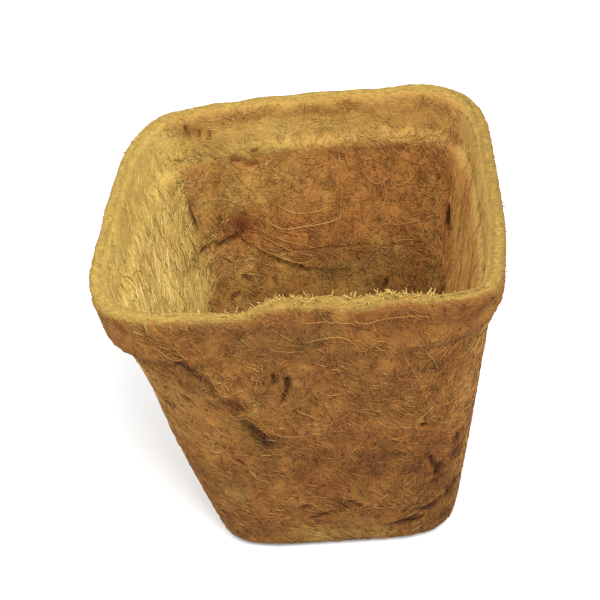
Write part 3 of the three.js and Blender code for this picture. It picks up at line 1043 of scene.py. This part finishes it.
def layFloor(name):
    values = floorMats[name]
    count, points = values["count"], floorMats["points"]
    place = dice.uniform(-values["reach"], values["reach"], (count, 2))
    reach = values["reach"] * dice.uniform(*floorMats["ragged"], count)
    heading = dice.uniform(0, 2 * math.pi, count)
    stride = floorMats["length"] * dice.lognormal(0, floorMats["lengthSpread"], count) / (points - 1)
    route = []
    for _ in range(points):
        place = place / np.maximum(squareSpan(place) / reach, 1)[:, None]
        route.append(place)
        heading = heading + dice.normal(0, floorMats["wander"], count)
        place = place + stride[:, None] * np.stack([np.cos(heading), np.sin(heading)], -1)
    flat = np.stack(route, 1)
    level = values["height"] + values["facing"] * dice.uniform(0, values["bed"], count)
    climb = values["climb"] * fade(squareSpan(flat) / values["reach"], *floorMats["edge"])
    paths = np.concatenate([flat, (level[:, None] + climb)[..., None]], -1)
    outs = np.broadcast_to(np.array([0, 0, values["facing"]]), paths.shape)
    radii = dice.uniform(*floorMats["radius"], count)
    shade = values["tone"][0] + floorMats["shadeSpread"] * dice.normal(size=count)
    hue = values["tone"][1] + floorMats["hueSpread"] * dice.normal(size=count)
    addFibres("base_blank_" + name + "_fibres", slotOf["base_blank"], paths, outs, radii, shade, hue)


layFloor("floor")
layFloor("underside")


# Rim fibres: cut ends that lie on the edge or stand up from it, thickest along the front
rimFibres = {
    "lying": {"count": 3000, "length": 2.0 * mm, "slope": (-4, 6), "swing": 0.3, "follows": True,
              "shade": 0.0, "radius": (0.08 * mm, 0.13 * mm)},
    # the standing fibres and the fringe are painted paler: painted light for their sides, which face away
    # from the lamps
    "standing": {"count": 130, "length": 0.8 * mm, "slope": (20, 70), "swing": 3, "follows": False,
                 "shade": 0.12, "radius": (0.08 * mm, 0.13 * mm)},
    "fringe": {"count": 300, "length": 1.2 * mm, "slope": (15, 65), "swing": 3, "follows": False,
               "shade": 0.22, "radius": (0.10 * mm, 0.16 * mm),
               "clumps": [(-105, 3), (-92, 4), (-85, 3), (-73, 4), (-65, 2), (-59, 3)]},  # angle and spread
    "points": 4, "tries": 3, "lengthSpread": 0.35, "hueSpread": 0.06, "shadeSpread": 0.06,
    "across": (0.34, 0.84), "sink": 0.25 * mm,  # where on the cut edge they start, and how deep
    "wander": 0.25, "droop": 14,
}


def layRim(name):
    values = rimFibres[name]
    tries, points = rimFibres["tries"] * values["count"], rimFibres["points"]
    if "clumps" in values:
        clumps = np.array(values["clumps"])
        middles, spreads = clumps[dice.integers(len(clumps), size=tries)].T
        angle = np.radians(dice.normal(middles, spreads))
    else:
        angle = dice.uniform(-math.pi, math.pi, tries)
    radius = wallRadius("outer", angle, np.full(tries, chart["top"]))
    angle = angle[dice.uniform(0, radius.max() ** 2, tries) < radius ** 2][:values["count"]]
    count = len(angle)
    top = np.full(count, potHeight)
    outer, inner = wallRadius("outer", angle, top), wallRadius("inner", angle, top)
    innermost, outermost = rimFibres["across"]
    radius = inner + (outer - inner) * dice.uniform(innermost, np.minimum(outermost, goldShare(angle)))
    heading = angle + math.pi / 2 + values["swing"] * dice.normal(size=count)  # about the way the rim runs
    slope = np.radians(dice.uniform(*values["slope"], count))
    stride = values["length"] * dice.lognormal(0, rimFibres["lengthSpread"], count) / (points - 1)
    level = top + feltBody["swell"] - rimFibres["sink"]
    place = np.stack([radius * np.cos(angle), radius * np.sin(angle), level], -1)
    route = []
    for _ in range(points):
        route.append(place)
        flat = np.cos(slope)
        step = np.stack([np.cos(heading) * flat, np.sin(heading) * flat, np.sin(slope)], -1)
        place = place + stride[:, None] * step
        heading = heading + dice.normal(0, rimFibres["wander"], count)
        slope = slope - np.radians(dice.uniform(0, rimFibres["droop"], count))
    paths = np.stack(route, 1)
    onEdge = (paths if values["follows"] else paths[:, :1]).copy()
    onEdge[..., 2] = potHeight
    paths = paths + rimShift(onEdge)
    outs = np.broadcast_to(unit(dice.normal(size=(count, 1, 3))), paths.shape)
    radii = dice.uniform(*values["radius"], count)
    shade, hue = panelTone("inner", coirTone["rim"], angle, top)
    shade = shade + values["shade"] + rimFibres["shadeSpread"] * dice.normal(size=count)
    hue = hue + rimFibres["hueSpread"] * dice.normal(size=count)
    addByPanel("rim_" + name, wallOwner("outer", angle, top), paths, outs, radii, shade, hue)


for rimName in ("lying", "standing", "fringe"):
    layRim(rimName)


# Stray strands: long pale fibres that lie over the mat, each by its angles and heights on the wall
strayStrands = {
    "back_panel": [
        [(76.7, 95.9), (76.1, 92.1), (75.5, 87.9), (75.0, 84.1), (74.7, 80.2)],
        [(67.3, 93.8), (64.8, 90.8), (62.0, 87.2), (59.2, 84.0)],
        [(63.0, 95.1), (61.8, 91.6), (60.5, 87.8), (58.4, 83.5)],
        [(58.3, 83.1), (55.5, 84.1), (52.3, 83.9), (48.8, 82.5), (47.0, 79.4)],
        [(74.7, 81.4), (72.6, 83.5), (69.3, 84.1), (65.3, 83.6)],
        [(134.8, 71.5), (130.3, 71.8), (124.6, 70.7), (119.7, 68.7), (117.1, 70.6), (118.4, 73.4),
         (121.3, 73.9), (123.1, 71.4), (120.5, 68.2), (116.0, 66.9)],
        [(118.1, 61.5), (113.2, 57.9), (107.6, 55.1), (100.6, 52.9), (92.1, 51.0)],
        [(118.3, 54.2), (113.4, 51.2), (106.8, 48.3), (99.8, 46.4), (92.7, 47.7)],
        [(112.8, 62.2), (105.6, 58.3), (96.4, 58.3), (85.5, 59.2), (80.8, 60.2)],
        [(116.4, 64.6), (110.6, 60.3), (103.5, 56.8), (95.2, 55.2)],
        [(115.6, 57.6), (108.8, 53.4), (101.4, 50.0), (94.6, 48.6)],
        [(108.0, 67.2), (100.8, 63.4), (92.6, 62.6), (85.4, 63.9)],
        [(72.4, 77.5), (70.2, 73.0), (66.6, 70.2), (62.4, 71.8)],
        [(69.0, 58.6), (65.4, 61.8), (63.2, 66.0), (63.9, 70.4)],
        [(78.0, 92.9), (79.6, 83.9), (79.2, 75.0), (80.2, 65.6), (82.8, 57.4), (91.3, 50.4)],
        [(61.6, 51.3), (56.9, 52.1), (51.7, 52.6)],
        [(60.9, 56.6), (55.6, 57.7), (50.5, 59.0)],
        [(61.2, 70.6), (58.2, 69.7), (55.5, 71.1)],
        [(51.5, 75.3), (53.4, 70.1), (55.4, 64.8), (57.4, 60.2)],
    ],
    "front_panel": [
        [(-87.7, 88.1), (-83.6, 89.3), (-79.2, 89.6), (-75.6, 88.3), (-73.6, 85.9)],
        [(-64.5, 87.8), (-62.5, 81.1), (-60.6, 76.0), (-58.7, 69.7), (-56.9, 62.3)],
        [(-58.5, 83.3), (-55.7, 77.5), (-54.2, 73.0)],
        [(-95.4, 81.5), (-95.8, 76.9), (-96.1, 72.4), (-94.9, 68.1)],
        [(-86.0, 70.8), (-82.7, 68.9), (-78.0, 68.9)],
        [(-67.6, 48.9), (-63.8, 49.1), (-59.8, 49.4)],
        [(-106.8, 63.2), (-104.0, 57.6), (-99.5, 53.9), (-93.7, 53.0), (-87.3, 53.3)],
        [(-88.2, 56.3), (-83.5, 57.5), (-78.8, 60.3), (-75.3, 62.8)],
        [(-114.6, 83.2), (-116.5, 76.0), (-116.9, 71.0), (-116.0, 66.7)],
        [(-115.9, 65.1), (-112.4, 63.9), (-108.6, 62.1), (-105.7, 58.2), (-102.3, 54.1)],
        [(-129.7, 91.4), (-126.5, 90.3), (-123.1, 88.8), (-120.5, 86.7), (-117.4, 86.1)],
        [(-119.0, 89.0), (-117.8, 87.7), (-115.9, 85.7)],
        [(-96.9, 88.0), (-94.0, 86.5), (-89.8, 86.1)],
        [(-87.6, 93.4), (-83.2, 93.8), (-79.5, 93.2)],
        [(-81.5, 93.0), (-77.6, 93.4), (-72.8, 92.7)],
        [(-74.5, 93.6), (-71.0, 93.0), (-66.0, 93.5)],
        [(-67.5, 93.1), (-62.0, 93.8), (-57.5, 93.2)],
    ],
}
stray = {
    "points": 24, "radius": (0.07 * mm, 0.10 * mm), "lift": 0.5 * mm, "lifting": 0.3,
    "sway": 0.35 * mm, "swings": (1, 2.5), "shadeSpread": 0.05, "hueSpread": 0.08,
    "side": {"back_panel": "inner", "front_panel": "outer"},
    "tone": {"back_panel": (0.73, 0.62), "front_panel": (0.59, 0.54)},
}


def smoothRoute(places, points):  # one curve through the chosen places
    places = np.array(places)
    padded = np.concatenate([[2 * places[0] - places[1]], places, [2 * places[-1] - places[-2]]])
    share = np.linspace(0, len(places) - 1.001, points)  # a little short of the last place
    start = share.astype(int)
    t = (share - start)[:, None]
    a, b, c, d = (padded[start + shift] for shift in range(4))
    return b + 0.5 * t * (c - a + t * (2 * a - 5 * b + 4 * c - d + t * (3 * (b - c) + d - a)))


def addStrays(name):
    paths, outs = [], []
    side = stray["side"][name]
    share = np.linspace(0, 1, stray["points"])
    for places in strayStrands[name]:
        route = smoothRoute(places, stray["points"])
        angle, height = np.radians(route[:, 0]), route[:, 1] * mm
        out = wallSlopes(side, angle, height)[2]
        start = wallPoint(side, angle, height)
        sway = stray["sway"] * np.abs(np.sin(math.pi * share * dice.uniform(*stray["swings"])))
        lift = stray["lift"] * np.sin(math.pi * share) ** stray["lifting"] + sway
        lift = lift + wallRise(side, nodeNames.index(name), start)
        paths.append(start + rimShift(start) + out * lift[:, None])
        outs.append(out)
    count = len(paths)
    shade, hue = stray["tone"][name]
    shade = shade + stray["shadeSpread"] * dice.normal(size=count)
    hue = hue + stray["hueSpread"] * dice.normal(size=count)
    radii = dice.uniform(*stray["radius"], count)
    addFibres(name + "_stray_strands", slotOf[name], np.stack(paths), np.stack(outs), radii, shade, hue)


for strayName in strayStrands:
    addStrays(strayName)


# Stage: pale floor, soft light and the photograph's viewing angle
stage = {"floorSize": 3.0, "floor": (240, 240, 239), "bounce": (150, 150, 150), "world": 0.65,
         "roughness": 0.9, "gloss": 0.2}


def makeStage():
    deselectAll()
    bpy.ops.mesh.primitive_plane_add(size=stage["floorSize"])
    floor = bpy.context.object
    floor.name = "floor"
    material = newFinish("paleFloor", stage)
    tree = material.node_tree
    path = addNode(tree, "ShaderNodeLightPath", {})
    seen = path.outputs["Is Camera Ray"]
    for ray in ("Is Glossy Ray", "Is Transmission Ray"):
        rays = {0: seen, 1: path.outputs[ray]}
        seen = addNode(tree, "ShaderNodeMath", rays, operation="MAXIMUM").outputs[0]
    ends = {"Factor": seen, "A": tint(*stage["bounce"]), "B": tint(*stage["floor"])}
    paintShader(tree, addNode(tree, "ShaderNodeMix", ends, data_type="RGBA").outputs["Result"])
    floor.data.materials.append(material)
    world = bpy.data.worlds.new("softRoom")
    bpy.context.scene.world = world
    world.use_nodes = True
    light = world.node_tree.nodes["Background"].inputs
    light["Color"].default_value = (1, 1, 1, 1)
    light["Strength"].default_value = stage["world"]


lamps = {
    "key": {"place": (0.30, -0.38, 0.70), "size": 0.45, "power": 9.0},
    "fill": {"place": (-0.45, -0.10, 0.65), "size": 0.6, "power": 4.0},
}


def addLamp(name):
    values = lamps[name]
    deselectAll()
    bpy.ops.object.light_add(type="AREA", location=values["place"])
    lamp = bpy.context.object
    lamp.name = name + "Lamp"
    lamp.data.size = values["size"]
    lamp.data.energy = values["power"]
    aim = Vector((0, 0, potHeight / 2)) - lamp.location
    lamp.rotation_euler = aim.to_track_quat("-Z", "Y").to_euler()


view = {"azimuth": 8.06, "elevation": 37.86, "roll": 9.48, "distance": 323.4 * mm,
        "aimHeight": 62.1 * mm, "aimAside": -4.0 * mm, "lens": 71.56, "near": 10 * mm}


def addCamera():
    azimuth, elevation, roll = (math.radians(view[key]) for key in ("azimuth", "elevation", "roll"))
    level = math.cos(elevation)
    back = Vector((math.sin(azimuth) * level, -math.cos(azimuth) * level, math.sin(elevation)))
    right = Vector((math.cos(azimuth), math.sin(azimuth), 0))
    up = back.cross(right)
    acrossFrame = math.cos(roll) * right - math.sin(roll) * up
    upFrame = math.sin(roll) * right + math.cos(roll) * up
    place = Vector((0, 0, view["aimHeight"])) + view["aimAside"] * right + view["distance"] * back
    deselectAll()
    bpy.ops.object.camera_add()
    camera = bpy.context.object
    camera.data.lens = view["lens"]
    camera.data.clip_start = view["near"]
    turn = Matrix((acrossFrame, upFrame, back)).transposed().to_4x4()
    camera.matrix_world = Matrix.Translation(place) @ turn
    bpy.context.scene.camera = camera


makeStage()
for lampName in lamps:
    addLamp(lampName)
addCamera()
print("stage, lamps and camera set")
